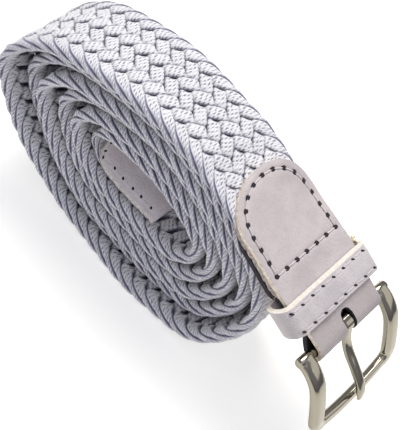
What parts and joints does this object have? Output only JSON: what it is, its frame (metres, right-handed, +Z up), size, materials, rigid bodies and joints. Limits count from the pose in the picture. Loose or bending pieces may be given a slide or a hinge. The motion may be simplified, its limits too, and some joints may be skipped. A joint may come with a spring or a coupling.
{
  "type": "elastic belt",
  "caption": "Braided elastic belt with leather buckle tab, keeper and tail tip and a metal prong buckle, rolled up and lying on its side.",
  "frame": {"origin": "centre of the bounding box's base, on the surface that the rolled belt lies on", "axes": "+X along the roll towards the buckle, +Y across the belt away from the side the picture shows, +Z up"},
  "size_m": [0.1464, 0.0448, 0.0644],
  "materials": {
    "braid": "braided elastic cord, matt",
    "tip_leather": "soft satin leather, mauve grey",
    "tab_leather": "soft satin leather, pale lilac pink, raw cream edges",
    "nickel": "polished warm nickel"
  },
  "bodies": {
    "belt": {"braid_band": "braid", "tail_tip": "tip_leather", "buckle_tab": "tab_leather", "keeper_loop": "tab_leather"},
    "frame": {"buckle_frame": "nickel"},
    "prong": {"buckle_prong": "nickel"}
  },
  "joints": [
    {"name": "frame_swivel", "type": "hinge", "parent": "belt", "child": "frame", "pos_m": [0.05386, 0, 0.0387], "axis": [0, -1, 0], "range_deg": [-35, 75]},
    {"name": "prong_swing", "type": "hinge", "parent": "frame", "child": "prong", "pos_m": [0.05386, 0, 0.0387], "axis": [0, -1, 0], "range_deg": [0, 60]}
  ]
}
